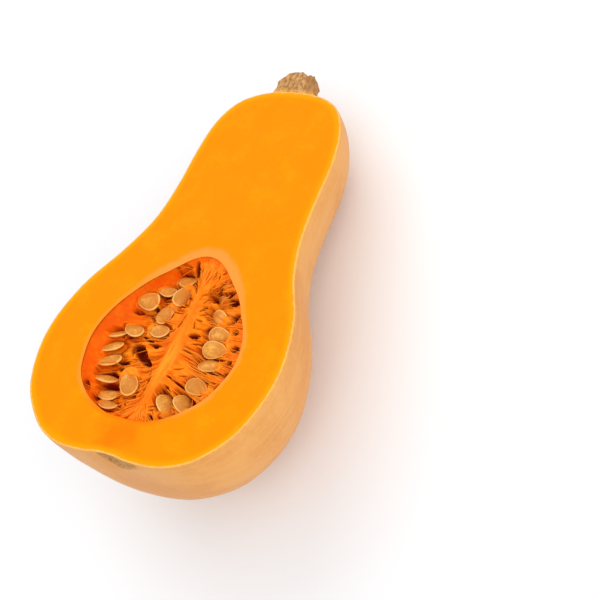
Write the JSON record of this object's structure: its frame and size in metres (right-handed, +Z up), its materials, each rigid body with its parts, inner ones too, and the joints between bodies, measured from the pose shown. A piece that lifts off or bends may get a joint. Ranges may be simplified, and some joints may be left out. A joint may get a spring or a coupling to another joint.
{
  "type": "butternut squash half",
  "caption": "Butternut squash cut in half lengthwise, lying on its rounded back: orange cut face with an open seed cavity of stringy pulp and seeds, tan rind and a cut corky stem stub.",
  "frame": {"origin": "on the surface that the half lies on, under the middle of the object's box", "axes": "+Z is up. +Y runs along the squash from the blossom end to the stem, which leans down by about 16 degrees. +X runs across the cut face, to the right when the stem points away."},
  "size_m": [0.1326, 0.2112, 0.0876],
  "materials": {
    "flesh": "moist, finely grained orange flesh",
    "rind": "smooth tan rind with a soft satin sheen",
    "pulp": "wet, stringy, deep orange",
    "seed": "smooth cream hull with a thin wet skin",
    "stem": "dry cork, rough on the cut and ribbed on its side"
  },
  "bodies": {
    "root": {"squash_half": "flesh", "pulp": "pulp", "stem": "stem", "seed_01": "seed", "seed_02": "seed", "seed_03": "seed", "seed_04": "seed", "seed_05": "seed", "seed_06": "seed", "seed_07": "seed", "seed_08": "seed", "seed_09": "seed", "seed_10": "seed", "seed_11": "seed", "seed_12": "seed", "seed_13": "seed", "seed_14": "seed", "seed_15": "seed", "seed_16": "seed", "seed_17": "seed", "seed_18": "seed", "seed_19": "seed", "seed_20": "seed", "seed_21": "seed", "seed_22": "seed"}
  },
  "joints": []
}
